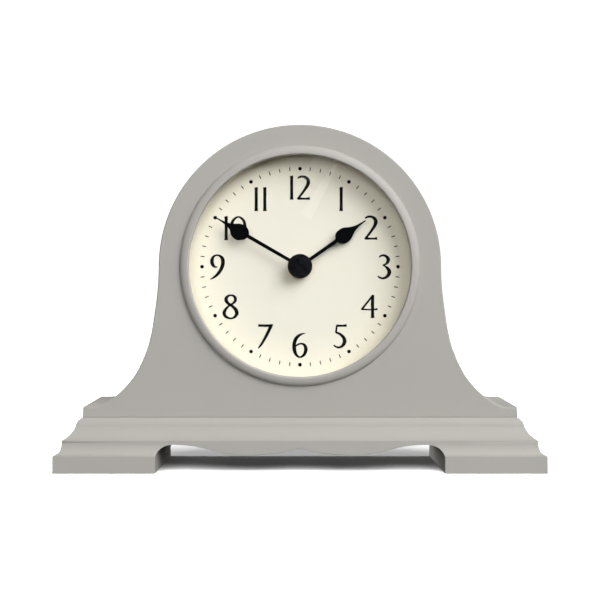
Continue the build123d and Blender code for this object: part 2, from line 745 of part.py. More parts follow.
# Each piece is a node of its own, and identical screws share one
small_screw_places = dial_screw_places + cover_screw_places
pieces = {
    "foot_left": foot_left, "foot_right": foot_right, "apron": apron, "plinth": plinth,
    "front_panel": front_panel, "case_rim": case_rim, "back_panel": back_panel,
    "plinth_screws": Compound(children=[place * plinth_screw for place in plinth_screw_places]),
    "back_screws": Compound(children=[place * back_screw for place in back_screw_places]),
    "bezel": bezel, "lens": lens, "lens_ring": lens_ring, "dial": dial,
    "small_screws": Compound(children=[place * small_screw for place in small_screw_places]),
    "nut_washer": nut_washer, "bush_nut": bush_nut, "threaded_bush": threaded_bush,
    "dial_gasket": dial_gasket,
    "hour_hand": hour_hand, "minute_hand": minute_hand, "hand_cap": hand_cap,
    "hour_wheel": hour_wheel, "minute_arbor": minute_arbor, "centre_wheel": centre_wheel,
    "minute_works_wheel": minute_works_wheel, "intermediate_wheel": intermediate_wheel,
    "rotor_pinion": rotor_pinion, "rotor_magnet": rotor_magnet, "set_knob": set_knob,
    "stator": stator, "coil_core": coil_core, "coil_bobbin": coil_bobbin, "coil_winding": coil_winding,
    "movement_case": movement_case, "movement_cover": movement_cover,
    "circuit_board": circuit_board, "quartz_crystal": quartz_crystal, "clock_chip": clock_chip,
    "battery": battery, "contact_positive": contact_positive, "contact_negative": contact_negative,
}
os.makedirs("parts", exist_ok=True)
for name, piece in pieces.items():
    export_step(piece, f"parts/{name}.step")
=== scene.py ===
from math import cos, pi, radians, sin, sqrt

import bmesh
import bpy
from mathutils import Matrix, Vector
from mathutils.geometry import interpolate_bezier


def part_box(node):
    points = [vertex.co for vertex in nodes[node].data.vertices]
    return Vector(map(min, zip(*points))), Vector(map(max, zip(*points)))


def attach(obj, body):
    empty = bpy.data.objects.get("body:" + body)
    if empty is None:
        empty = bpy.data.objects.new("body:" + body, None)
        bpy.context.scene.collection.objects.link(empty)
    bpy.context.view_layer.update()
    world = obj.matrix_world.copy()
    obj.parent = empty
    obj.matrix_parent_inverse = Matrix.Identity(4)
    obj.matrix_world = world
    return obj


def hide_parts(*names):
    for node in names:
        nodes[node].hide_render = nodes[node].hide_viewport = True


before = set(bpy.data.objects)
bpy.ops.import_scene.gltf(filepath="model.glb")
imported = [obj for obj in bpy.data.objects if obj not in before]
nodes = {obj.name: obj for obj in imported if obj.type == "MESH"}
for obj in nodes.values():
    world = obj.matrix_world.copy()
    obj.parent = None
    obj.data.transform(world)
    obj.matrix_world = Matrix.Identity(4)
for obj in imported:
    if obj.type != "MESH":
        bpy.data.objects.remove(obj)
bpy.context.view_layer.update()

# Feet
# Two blocks of medium-density fibreboard that carry the clock, coved along the front and the
# outer end, with the inner end routed to a quarter arch. Sprayed grey with the rest of the case
# and glued under the plinth.


def colour(code):
    """An sRGB hex colour as linear RGBA."""
    parts = [int(code[at:at + 2], 16) / 255 for at in (1, 3, 5)]
    return [p / 12.92 if p <= 0.04045 else ((p + 0.055) / 1.055) ** 2.4 for p in parts] + [1.0]


def add(tree, kind, links, **settings):
    """One shader node: its settings, and its inputs each from a value or another node's output."""
    made = tree.nodes.new("ShaderNode" + kind)
    for name, value in settings.items():
        setattr(made, name, value)
    for socket, value in links.items():
        if isinstance(value, bpy.types.NodeSocket):
            tree.links.new(value, made.inputs[socket])
        else:
            made.inputs[socket].default_value = value
    return made


def mottled(name, light, dark, patch, rough, grain, depth, **values):
    """A finish whose two close colours and two roughnesses drift over patches, with a fine grain
    raised on it. Patch, grain and depth are millimetres on the real surface."""
    material = bpy.data.materials.new(name)
    material.use_nodes = True
    tree = material.node_tree
    shader = tree.nodes["Principled BSDF"]
    for socket, value in values.items():
        shader.inputs[socket.replace("_", " ")].default_value = value
    spot = add(tree, "TexCoord", {}).outputs["Object"]
    drift = add(tree, "TexNoise", {"Vector": spot, "Scale": 1000 / patch, "Detail": 4.0}).outputs["Fac"]
    tone = add(tree, "Mix", {0: drift, 6: colour(dark), 7: colour(light)}, data_type="RGBA")
    sheen = add(tree, "MapRange", {"Value": drift, "From Min": 0.3, "From Max": 0.7,
                                   "To Min": rough[0], "To Max": rough[1]})
    fine = add(tree, "TexNoise", {"Vector": spot, "Scale": 1000 / grain, "Detail": 2.0}).outputs["Fac"]
    bump = add(tree, "Bump", {"Height": fine, "Distance": depth / 1000, "Strength": 1.0})
    tree.links.new(tone.outputs[2], shader.inputs["Base Color"])
    tree.links.new(sheen.outputs[0], shader.inputs["Roughness"])
    tree.links.new(bump.outputs[0], shader.inputs["Normal"])
    return material


# Satin water-based lacquer sprayed on sealed board: an even warm grey with faint cloudy drift and
# the shallow orange peel a spray gun leaves, so long highlights break up slightly.
grey_lacquer = mottled("grey_satin_lacquer", "#AAA7A2", "#A5A29D", 38.0, (0.58, 0.66), 1.1, 0.006,
                       Specular_IOR_Level=0.22)


def corners(node):
    """The lowest and the highest corner of a CAD node, in millimetres."""
    return [corner * 1000 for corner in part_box(node)]


def build_up(bm, layers):
    """Builds the faces already in bm up into a block, layer by layer; each layer is a height with
    the left, right, front and back edge of the block there, in millimetres."""
    faces = bm.faces[:]
    for step, (z, left, right, front, back) in enumerate(layers):
        if step:
            below = faces
            faces = [f for f in bmesh.ops.extrude_face_region(bm, geom=below)["geom"]
                     if isinstance(f, bmesh.types.BMFace)]
            if step > 1:
                bmesh.ops.delete(bm, geom=below, context="FACES")
        verts = {vert for face in faces for vert in face.verts}
        ends = [(max(verts, key=lambda v: sx * v.co.x + sy * v.co.y), x, y)
                for sx, x in ((-1, left), (1, right)) for sy, y in ((-1, front), (1, back))]
        for vert in verts:
            vert.co.z = z
        for vert, x, y in ends:
            vert.co.x, vert.co.y = x, y


sharp_turn, crisp_turn = radians(28), radians(50)
weld, fine_weld = 1e-4, 1e-5


def ease(bm, width, edges=None, segments=3):
    """Rounds the arrises, the given ones or every edge where the surface turns sharply."""
    if edges is None:
        edges = [e for e in bm.edges if e.is_manifold and e.calc_face_angle() > sharp_turn]
    bmesh.ops.bevel(bm, geom=edges, offset=width, offset_type="OFFSET", segments=segments,
                    profile=0.5, affect="EDGES", material=-1, clamp_overlap=False)


def solid(name, bm, finishes, node=None, body="case"):
    """Puts a closed piece drawn in millimetres into the scene, with flat faces flat and arrises crisp.
    It rides on a body, and stands for a CAD node where one is named."""
    bmesh.ops.remove_doubles(bm, verts=bm.verts, dist=weld)
    bmesh.ops.recalc_face_normals(bm, faces=bm.faces)
    for face in bm.faces:
        face.smooth = True
    for edge in bm.edges:
        edge.smooth = edge.calc_face_angle(pi) < crisp_turn
    bmesh.ops.scale(bm, vec=(0.001, 0.001, 0.001), verts=bm.verts)
    mesh = bpy.data.meshes.new(name)
    bm.to_mesh(mesh)
    bm.free()
    for finish in finishes:
        mesh.materials.append(finish)
    piece = bpy.data.objects.new(name, mesh)
    bpy.context.scene.collection.objects.link(piece)
    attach(piece, body)
    piece.modifiers.new("flat_faces", "WEIGHTED_NORMAL").keep_sharp = True
    if node:
        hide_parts(node)
    return piece


def quarter(share):
    """The height of a quarter circle of radius one, a share of the way out."""
    return sqrt(1 - min(1.0, max(0.0, share)) ** 2)


low, high = corners("foot_right")
base_half, base_front, base_back, foot_top, foot_inner = high.x, low.y, high.y, high.z, low.x
foot_band, cove_width, cove_height = 8.75, 3.8, 6.25
arch_top, arch_width, arch_height = 14.05, 8.6, 6.4
curve_steps, foot_ease = 12, 0.18
turns = [radians(90 / curve_steps) * step for step in range(curve_steps + 1)]
heights = sorted({0.0, foot_top}
                 | {foot_band + cove_height * (1 - cos(turn)) for turn in turns}
                 | {arch_top - arch_height * (1 - sin(turn)) for turn in turns})
foot_layers = []
for z in heights:
    cut = cove_width * quarter((foot_band + cove_height - z) / cove_height)
    inner = foot_inner + arch_width * quarter((z - arch_top + arch_height) / arch_height)
    foot_layers.append((z, inner, base_half - cut, base_front + cut, base_back))
for side, name in ((1, "foot_right"), (-1, "foot_left")):
    bm = bmesh.new()
    bmesh.ops.create_grid(bm, x_segments=1, y_segments=1, size=1.0)
    build_up(bm, foot_layers)
    ease(bm, foot_ease)
    bmesh.ops.scale(bm, vec=(side, 1, 1), verts=bm.verts)
    solid(name + "_block", bm, [grey_lacquer], name)

# Apron
# The thin shaped board between the feet, band-sawn from board to a shallow scallop with a dip at
# each end, flush with the necks of the feet. Same sprayed grey, glued up to the plinth.


def smooth_line(points, first=None, last=None, steps=8):
    """A smooth line through points, leaving and arriving in the given directions."""
    points = [Vector(point) for point in points]
    spans = [(b - a) for a, b in zip(points, points[1:])]
    ways = [Vector(first).normalized() if first else spans[0].normalized()]
    for before, after in zip(spans, spans[1:]):
        ways.append((before / before.length_squared + after / after.length_squared).normalized())
    ways.append(Vector(last).normalized() if last else spans[-1].normalized())
    line = [points[0]]
    for a, b, go, come, span in zip(points, points[1:], ways, ways[1:], spans):
        third = span.length / 3
        line += interpolate_bezier(a, a + go * third, b - come * third, b, steps + 1)[1:]
    return line


def face_of(bm, outline, y):
    """One flat face across the depth at y, from an outline of (x, z)."""
    return bm.faces.new([bm.verts.new((x, y, z)) for x, z in outline])


def thicken(bm, depth):
    """Gives the flat faces in bm a thickness, backwards by depth."""
    made = bmesh.ops.extrude_face_region(bm, geom=bm.faces[:])["geom"]
    moved = [v for v in made if isinstance(v, bmesh.types.BMVert)]
    bmesh.ops.translate(bm, vec=(0, depth, 0), verts=moved)
    bmesh.ops.recalc_face_normals(bm, faces=bm.faces)


def both_halves(bm):
    """Completes a right half by its mirror image about the middle of the clock."""
    bmesh.ops.mirror(bm, geom=bm.verts[:] + bm.edges[:] + bm.faces[:], axis="X", merge_dist=fine_weld)


low, high = corners("apron")
apron_drop, apron_ease = 5.2, 0.25
middle_slope, end_slope = (1, -0.03), (1, 0.02)
scallop_shares = ((0, 0.62), (0.1, 0.35), (0.21, 0.13), (0.37, 0), (0.51, 0.05),
                  (0.62, 0.24), (0.73, 0.59), (0.83, 0.86), (1, 1))
lower_edge = [(foot_inner * across, arch_top - apron_drop * (1 - up)) for across, up in scallop_shares]
scallop = smooth_line(lower_edge, middle_slope, end_slope)
bm = bmesh.new()
face_of(bm, [point[:] for point in scallop] + [(foot_inner, foot_top), (0, foot_top)], low.y)
both_halves(bm)
thicken(bm, high.y - low.y)
ease(bm, apron_ease)
solid("apron_board", bm, [grey_lacquer], "apron")

# Plinth
# The board the case stands on, spindle-moulded along the front and both ends: a shallow cove, a
# small step and a flat round above it. Sprayed grey; four countersunk screws go up through it.
low, high = corners("plinth")
plinth_half, plinth_front, plinth_top = high.x, low.y, high.z
# Each member of the moulding: how far it goes in and up, how far it bows, and the step under it.
plinth_members = ((5.8, 6.6, 0.88, 0.0), (3.0, 4.0, -0.62, 0.3))
member_steps, moulded_reach, plinth_ease = 10, 10.0, 0.12
screw_shank, countersink, hole_sides = 1.6, 1.5, 24
plinth_screw_out, plinth_screw_depths = 45.0, (-0.7, 17.3)
moulding = [Vector((0.0, foot_top))]
for across, rise, bow, step_up in plinth_members:
    start = moulding[-1] + Vector((0, step_up))
    chord = Vector((across, rise))
    inward = Vector((rise, -across)).normalized()
    shares = [step / member_steps for step in range(0 if step_up else 1, member_steps + 1)]
    moulding += [start + chord * share + inward * 4 * bow * share * (1 - share) for share in shares]
bm = bmesh.new()
plan = ((-plinth_half, plinth_front), (plinth_half, plinth_front),
        (plinth_half, base_back), (-plinth_half, base_back))
rectangle = [bm.verts.new((x, y, foot_top)) for x, y in plan]
for a, b in zip(rectangle, rectangle[1:] + rectangle[:1]):
    bm.edges.new((a, b))
for x in (-plinth_screw_out, plinth_screw_out):
    for y in plinth_screw_depths:
        bmesh.ops.create_circle(bm, segments=hole_sides, radius=screw_shank,
                                matrix=Matrix.Translation((x, y, foot_top)))
bmesh.ops.triangle_fill(bm, edges=bm.edges[:], use_beauty=True, use_dissolve=False)
build_up(bm, [(z, o - plinth_half, plinth_half - o, plinth_front + o, base_back) for o, z in moulding])
bmesh.ops.recalc_face_normals(bm, faces=bm.faces)
sharp = [e for e in bm.edges if e.is_manifold and e.calc_face_angle() > sharp_turn]
hole_edges = [e for e in sharp if max(abs(v.co.x) for v in e.verts) < plinth_half / 2]
moulded_edges = [e for e in sharp if max(abs(v.co.x) for v in e.verts) > plinth_half - moulded_reach]
underneath = [e for e in hole_edges if all(abs(v.co.z - foot_top) < weld for v in e.verts)]
ease(bm, countersink, underneath, segments=1)
ease(bm, plinth_ease, [e for e in moulded_edges if e.is_valid])
solid("plinth_board", bm, [grey_lacquer], "plinth")

# Front board
# The front of the case, routed from ten-millimetre board to the arch and its two swept wings, with
# a round bore for the bezel. Its front arris is eased by sanding, then sprayed grey.
low, high = corners("dial")
hub, dial_front = (low.z + high.z) / 2, low.y
low, high = corners("front_panel")
case_half, case_front, panel_back = high.x, low.y, high.y
rim_back, case_back = corners("back_panel")[0].y, corners("back_panel")[1].y
arch_radius, wing_top, wing_flat, wing_start, wing_fall = high.z - hub, 32.3, 107.0, 84.0, 1.3
panel_bore, rim_bore, access_bore, bore_margin, bore_sides = 61.0, 66.0, 44.0, 1.0, 160
joint_ease, front_ease, above_plinth = 0.35, 0.8, plinth_top + 0.01
in_plane, flat_turn, square_on = 1e-3, radians(0.2), 0.99
arch_step, sweep_steps, straight_down, level = 2, 10, (0, -1), (1, 0)
arch_turns = [radians(turn) for turn in range(0, 90, arch_step)]
half = [(arch_radius * sin(turn), hub + arch_radius * cos(turn)) for turn in arch_turns]
sweep = [(arch_radius, hub), (75.1, 82.2), (79.5, 61.5), (87.6, 46.0), (97.5, 36.6), (wing_flat, wing_top)]
half += [point[:] for point in smooth_line(sweep, straight_down, level, sweep_steps)]
half += [(case_half, wing_top), (case_half, plinth_top)]
upright = Matrix.Rotation(pi / 2, 4, "X")


def board(front, back, holes):
    """A board of the case's outline between two depths, with round holes given as x, z, radius.
    The tops of the wings fall a little from the back of the case to its front."""
    bm = bmesh.new()
    around = half + [(-x, z) for x, z in reversed(half[1:])]
    loop = [bm.verts.new((x, front, z)) for x, z in around]
    for a, b in zip(loop, loop[1:] + loop[:1]):
        bm.edges.new((a, b))
    for x, z, radius in holes:
        sides = bore_sides if radius > screw_shank else hole_sides
        bmesh.ops.create_circle(bm, segments=sides, radius=radius,
                                matrix=Matrix.Translation((x, front, z)) @ upright)
    bmesh.ops.triangle_fill(bm, edges=bm.edges[:], use_beauty=True, use_dissolve=False)
    thicken(bm, back - front)
    small = [Vector((x, z)) for x, z, radius in holes if radius <= screw_shank]
    flat = [e for e in bm.edges if e.is_manifold and e.calc_face_angle() < flat_turn
            and abs(e.link_faces[0].normal.y) > square_on
            and all((v.co.xz - hole).length > 2 * screw_shank for v in e.verts for hole in small)]
    bmesh.ops.dissolve_edges(bm, edges=flat, use_verts=False)
    for vert in bm.verts:
        out = min(1, max(0, (abs(vert.co.x) - wing_start) / (wing_flat - wing_start)))
        up = min(1, (vert.co.z - plinth_top) / (wing_top - plinth_top))
        vert.co.z += wing_fall * out * up * (vert.co.y - case_front) / (case_back - case_front)
    return bm


def arrises(bm, y, wanted=lambda middle: True):
    """The sharp edges in the plane at depth y, all of them or those whose middle passes a test."""
    return [e for e in bm.edges if e.is_manifold and all(abs(v.co.y - y) < in_plane for v in e.verts)
            and e.calc_face_angle() > sharp_turn and wanted((e.verts[0].co + e.verts[1].co) / 2)]


def from_hub(p):
    """How far a point is from the axis of the hands."""
    return sqrt(p.x ** 2 + (p.z - hub) ** 2)


def outside(p):
    """Whether a point is on the outline of the case, above the plinth."""
    return p.z > above_plinth and from_hub(p) > rim_bore


bm = board(case_front, panel_back, [(0, hub, panel_bore)])
ease(bm, joint_ease, arrises(bm, case_front, lambda p: p.z < above_plinth))
ease(bm, front_ease, arrises(bm, case_front, outside), segments=4)
solid("front_board", bm, [grey_lacquer], "front_panel")

# Case body
# The bored body behind the front board, laminated from board and cut to the same outline. Sprayed
# grey outside; the bore is left as sawn, so the brown fibre shows from the back.
# Bare fibreboard: dusty mid brown with short darker fibres and a soft, dry surface.
bare_board = mottled("bare_fibreboard", "#A98A66", "#8E7050", 2.2, (0.82, 0.92), 0.35, 0.05)
bm = board(panel_back, rim_back, [(0, hub, rim_bore)])
for face in bm.faces:
    if abs(face.normal.y) < square_on and from_hub(face.calc_center_median()) < rim_bore + bore_margin:
        face.material_index = 1
solid("case_body", bm, [grey_lacquer, bare_board], "case_rim")

# Back board
# A six-millimetre board that closes the back, with a round access hole for the cell and the setting
# knob. Four countersunk screws hold it, two beside the arch and two in the wings.
screw_turn = radians(45)
screw_out = (rim_bore + arch_radius) / 2 * sin(screw_turn)
wing_screw, hole_chord, back_ease = (88.4, 35.1), 0.6, 0.5
screw_places = [(side * x, z) for side in (-1, 1) for x, z in ((screw_out, hub + screw_out), wing_screw)]
bm = board(rim_back, case_back, [(0, hub, access_bore)] + [(x, z, screw_shank) for x, z in screw_places])
small = [e for e in arrises(bm, case_back) if e.calc_length() < hole_chord]
ease(bm, countersink, small, segments=1)
ease(bm, back_ease, arrises(bm, case_back, lambda p: outside(p) or from_hub(p) < access_bore + bore_margin))
solid("back_board", bm, [grey_lacquer], "back_panel")

# Dial
# A sheet-metal disc clamped behind the front board, painted cream and screen-printed in black with
# numerals, an hour dot at each hour and a dash at each minute between. Its back is only primed.
# Matt cream enamel on metal: a warm white with very slight clouding and a fine dry tooth, over the grey
# primer that the back shows. Towards the rim the cream is painted paler and yellower: painted light,
# standing in for warm light bounced onto the dial from the bezel's inner wall.
cream_enamel = mottled("matt_cream_enamel", "#F1EDDF", "#EDE8D8", 26.0, (0.55, 0.65), 0.5, 0.004)
tree = cream_enamel.node_tree
shader = tree.nodes["Principled BSDF"]
tone = shader.inputs["Base Color"].links[0].from_socket
spot = add(tree, "TexCoord", {}).outputs["Object"]
flat_spot = add(tree, "VectorMath", {0: spot, 1: (1.0, 0.0, 1.0), 2: (0.0, 0.0, -hub / 1000)},
                operation="MULTIPLY_ADD")
reach = add(tree, "VectorMath", {0: flat_spot.outputs[0]}, operation="LENGTH").outputs["Value"]
# Painted light: from 36 to 58 mm out the dial blends to a paler, yellower cream, a painted warm bounce.
bounce_tint_from, bounce_tint_to, primer_from, primer_to = 36.0, 58.0, 0.7, 0.8
rim = add(tree, "MapRange", {"Value": reach, "From Min": bounce_tint_from / 1000,
                             "From Max": bounce_tint_to / 1000}).outputs[0]
bounce_tinted = add(tree, "Mix", {0: rim, 6: tone, 7: colour("#FBF4DF")}, data_type="RGBA").outputs[2]
depth = add(tree, "SeparateXYZ", {0: spot}).outputs["Y"]
behind = add(tree, "MapRange", {"Value": depth, "From Min": (dial_front + primer_from) / 1000,
                                "From Max": (dial_front + primer_to) / 1000}).outputs[0]
primed = add(tree, "Mix", {0: behind, 6: bounce_tinted, 7: colour("#8A8C8B")}, data_type="RGBA").outputs[2]
tree.links.new(primed, shader.inputs["Base Color"])
nodes["dial"].material_slots[0].material = cream_enamel
# Screen-printing ink: dense warm black, matt, a little uneven where the film is thin.
printing_ink = mottled("black_printing_ink", "#080706", "#040403", 1.5, (0.5, 0.66), 0.3, 0.004,
                       Specular_IOR_Level=0.08)
print_film, dot_circle, dot_radius, dash_width, dash_length = 0.03, 51.5, 0.97, 0.5, 2.0
minute_turn, hour_turn, other_hours, dot_sides, stroke_steps = 6, 30, 11, 28, 6
# Each numeral as pen strokes about its own middle: x, height and half the width of the stroke there.
numeral_strokes = {
    "0": [[(3.6, 0, 0.9), (2.6, 4.2, 0.7), (0, 5.9, 0.45), (-2.6, 4.2, 0.7), (-3.6, 0, 0.9),
           (-2.6, -4.2, 0.7), (0, -5.9, 0.45), (2.6, -4.2, 0.7), (3.6, 0, 0.9)]],
    "1": [[(0, -6.3, 1.1), (0, -5.7, 0.9), (0, -4.7, 0.83), (0, -3.5, 0.82), (0, 3.5, 0.82), (0, 6.2, 0.85)],
          [(-1.05, 5.65, 0.15), (0.7, 6.1, 0.4)]],
    "2": [[(-3, 4.8, 0.35), (-1.85, 5.6, 0.55), (0, 5.75, 0.65), (1.7, 5, 0.83), (2.65, 3.3, 0.95),
           (2.25, 1.45, 0.9), (1, -0.7, 0.73), (-0.7, -3.1, 0.64), (-3.1, -6.15, 0.58)],
          [(-2.6, -5.75, 0.64), (2.6, -5.75, 0.64), (3.4, -5.65, 0.83)]],
    "3": [[(-2.75, 4.95, 0.3), (-1.75, 5.75, 0.5), (-0.3, 6, 0.58), (1.2, 5.35, 0.77), (2.15, 3.9, 0.96),
           (1.75, 2.4, 0.83), (0.65, 1.35, 0.5), (-0.8, 0.8, 0.3)],
          [(-0.8, 0.85, 0.3), (0.4, 0.3, 0.45), (1.75, -0.8, 0.77), (2.7, -2.65, 1.02), (2.1, -4.45, 0.9),
           (0.65, -5.7, 0.7), (-0.75, -6.05, 0.55), (-2.25, -5.7, 0.5), (-3.45, -4.8, 0.3)]],
    "4": [[(1.7, -6.1, 1.1), (1.7, -5.5, 0.9), (1.7, -4.5, 0.84), (1.7, -3.3, 0.83), (1.7, 3.5, 0.83),
           (1.9, 6.1, 0.64)],
          [(2, 6, 0.5), (-4.1, -1.65, 0.55)],
          [(-4.3, -1.5, 0.44), (3.35, -1.5, 0.45), (4.3, -1.3, 0.55)]],
    "5": [[(-2, 5.7, 0.64), (2.1, 5.7, 0.6), (3.45, 5.8, 0.77)],
          [(-1.75, 5.85, 0.48), (-1.95, 4.15, 0.48), (-2.2, 2, 0.55)],
          [(-2.35, 2.15, 0.45), (-0.95, 1.75, 0.58), (0.65, 0.7, 0.74), (2, -0.9, 0.9), (2.35, -2.5, 1),
           (1.75, -4.2, 0.86), (0.65, -5.3, 0.67), (-0.75, -5.75, 0.55), (-2.25, -5.35, 0.48),
           (-3.45, -4.45, 0.3)]],
    "6": [[(2.7, 6.35, 0.2), (1.35, 6.15, 0.4), (-0.4, 5.35, 0.7), (-2, 3.8, 0.9), (-2.9, 1.65, 0.96),
           (-3.1, -1, 1), (-2.65, -3.6, 0.9), (-1.55, -5.45, 0.64), (-0.05, -6.15, 0.48), (1.35, -5.55, 0.64),
           (2.55, -4.05, 0.83), (3, -2, 0.96), (2.6, -0.25, 0.83), (1.55, 0.75, 0.58), (0.25, 0.95, 0.45),
           (-1.15, 0.5, 0.45), (-2.2, -0.25, 0.4)]],
    "7": [[(-3.85, 5.65, 0.74), (-2.8, 5.65, 0.67), (1.75, 5.65, 0.67), (3.95, 6, 0.45)],
          [(2.9, 5.5, 0.9), (1.75, 3.1, 0.83), (0.4, 0.35, 0.77), (-1.1, -2.4, 0.7), (-2.55, -4.7, 0.58),
           (-3.9, -6.3, 0.32)]],
    "8": [[(0.05, 1.05, 0.7), (1.45, -0.1, 0.77), (2.8, -1.7, 0.96), (3.3, -3.2, 1), (2.55, -4.9, 0.77),
           (1.2, -5.9, 0.55), (-0.05, -6.1, 0.48), (-1.55, -5.7, 0.64), (-2.9, -4.7, 0.83),
           (-3.35, -3.2, 0.9), (-2.85, -1.7, 0.77), (-1.65, -0.25, 0.58), (-0.05, 1.05, 0.5),
           (1.45, 1.95, 0.58), (2.45, 3.2, 0.77), (2.55, 4.35, 0.83), (1.75, 5.6, 0.64), (0.3, 6.1, 0.45),
           (-1.2, 5.7, 0.64), (-2.3, 4.45, 0.9), (-2.25, 3.2, 0.93), (-1.3, 1.85, 0.77), (0.05, 0.9, 0.7)]],
    "9": [[(0.15, 0.1, 0.2), (-0.95, 0, 0.45), (-2, 0.7, 0.77), (-2.75, 2.2, 0.96), (-2.75, 3.9, 0.93),
           (-2, 5.4, 0.64), (-0.8, 6.15, 0.48), (0.3, 6.2, 0.45), (1.7, 5.6, 0.7), (2.7, 4.25, 0.96),
           (2.95, 2.4, 1.02), (2.55, 0.35, 0.96), (1.7, -1.6, 0.9), (0.45, -3.4, 0.83), (-1.05, -4.85, 0.64),
           (-2.55, -5.85, 0.45), (-3.75, -6.45, 0.2)]],
}
# Each figure's middle, from the middle of the dial.
numeral_places = [
    ("1", -4.4, 41.55), ("2", 1.75, 41.55), ("1", 21.65, 35.6), ("2", 37.2, 20.55), ("3", 44.25, -0.05),
    ("4", 36.45, -20.9), ("5", 21.1, -36.7), ("6", 0.05, -41.4), ("7", -18.1, -36.6), ("8", -36.5, -21.1),
    ("9", -43.45, -0.2), ("1", -38.8, 20.25), ("0", -32.4, 20.25), ("1", -23, 35.5), ("1", -18.5, 35.5)]
print_depth = dial_front - print_film
bm = bmesh.new()
for figure, x0, z0 in numeral_places:
    for stroke in numeral_strokes[figure]:
        line = smooth_line(stroke, steps=stroke_steps)
        ends = None
        for at, point in enumerate(line):
            way = (line[min(at + 1, len(line) - 1)] - line[max(at - 1, 0)]).xy.normalized()
            across = Vector((-way.y, way.x)) * point.z
            pair = [bm.verts.new((x0 + p.x, print_depth, hub + z0 + p.y))
                    for p in (point.xy + across, point.xy - across)]
            if ends:
                bm.faces.new((ends[0], ends[1], pair[1], pair[0]))
            ends = pair
on_circle = Matrix.Translation((0, print_depth, dot_circle)) @ upright
to_hub = Matrix.Translation((0, 0, hub))
marks = bmesh.ops.create_circle(bm, cap_ends=True, segments=dot_sides, radius=dot_radius,
                                matrix=to_hub @ on_circle)["verts"]
for minute in (1, 2, 3, 4):
    turned_to = to_hub @ Matrix.Rotation(radians(minute_turn * minute), 4, "Y")
    shaped = on_circle @ Matrix.Diagonal((dash_width, dash_length, 1, 1))
    marks += bmesh.ops.create_grid(bm, x_segments=1, y_segments=1, size=0.5,
                                   matrix=turned_to @ shaped)["verts"]
mark_faces = list(dict.fromkeys(face for vert in marks for face in vert.link_faces))
bmesh.ops.spin(bm, geom=mark_faces, cent=(0, 0, hub), axis=(0, 1, 0),
               angle=radians(hour_turn * other_hours), steps=other_hours, use_duplicate=True)
thicken(bm, print_film)
solid("dial_print", bm, [printing_ink])

# Bezel
# The bead round the glass, turned from board: a half-round with a steeper inner slope, a lip
# that hides the bore and a spigot that presses into it. Sprayed the same grey.
# The same lacquer on a turned ring, flatted back between coats, so a little smoother and lighter.
bezel_lacquer = mottled("grey_satin_lacquer_turned", "#ADAAA5", "#A8A5A0", 30.0, (0.46, 0.54), 0.9, 0.004,
                        Specular_IOR_Level=0.26)


def turned(profile, steps=128):
    """A piece turned about the clock's own axis from a profile of radius and depth."""
    bm = bmesh.new()
    line = [bm.verts.new((radius, depth, 0)) for radius, depth in profile]
    sides = [pair for pair in zip(line, line[1:] + line[:1]) if any(vert.co.x for vert in pair)]
    edges = [bm.edges.new(pair) for pair in sides]
    bmesh.ops.spin(bm, geom=line + edges, cent=(0, 0, 0), axis=(0, 1, 0), angle=2 * pi, steps=steps,
                   use_merge=True)
    bmesh.ops.remove_doubles(bm, verts=bm.verts, dist=fine_weld)
    bmesh.ops.recalc_face_normals(bm, faces=bm.faces)
    bmesh.ops.translate(bm, vec=(0, 0, hub), verts=bm.verts)
    return bm


opening, crest, outer_radius, spigot, recess = 57.3, 58.1, 62.1, 60.9, 58.8
bead_height, bead_edge, lip_height, lip_back, spigot_length = 2.8, 0.4, 1.6, 0.2, 6.0
bead_steps, bezel_ease = 10, 0.15
arc = [radians(90 / bead_steps) * step for step in range(bead_steps + 1)]
bead = [(crest - (crest - opening) * cos(turn), -lip_height - (bead_height - lip_height) * sin(turn))
        for turn in arc]
bead += [(crest + (outer_radius - crest) * sin(turn), -bead_edge - (bead_height - bead_edge) * cos(turn))
         for turn in arc[1:]]
bead += [(outer_radius, 0), (spigot, 0), (spigot, spigot_length), (recess, spigot_length),
         (recess, -lip_back), (opening, -lip_back)]
bm = turned([(radius, case_front + depth) for radius, depth in bead])
ease(bm, bezel_ease, segments=2)
solid("bezel_ring", bm, [bezel_lacquer], "bezel")

# Glass and its ring
# A flat disc of two-millimetre float glass with ground edges, laid in the bezel from behind and
# held by a sprung steel ring, which is enamelled cream like the dial that it is seen against.
# Float glass: clear, polished, with only the faintest breath of haze in patches.
float_glass = mottled("clear_float_glass", "#FFFFFF", "#FAFDFC", 60.0, (0.0, 0.012), 30.0, 0.000002,
                      Transmission_Weight=1.0, IOR=1.5)
low, high = corners("lens")
ground = 0.4
bm = turned([(0, low.y), (high.x - ground, low.y), (high.x, low.y + ground), (high.x, high.y - ground),
             (high.x - ground, high.y), (0, high.y)])
glass = solid("flat_glass", bm, [float_glass], "lens")
glass.visible_shadow = glass.visible_diffuse = False
nodes["lens_ring"].material_slots[0].material = cream_enamel

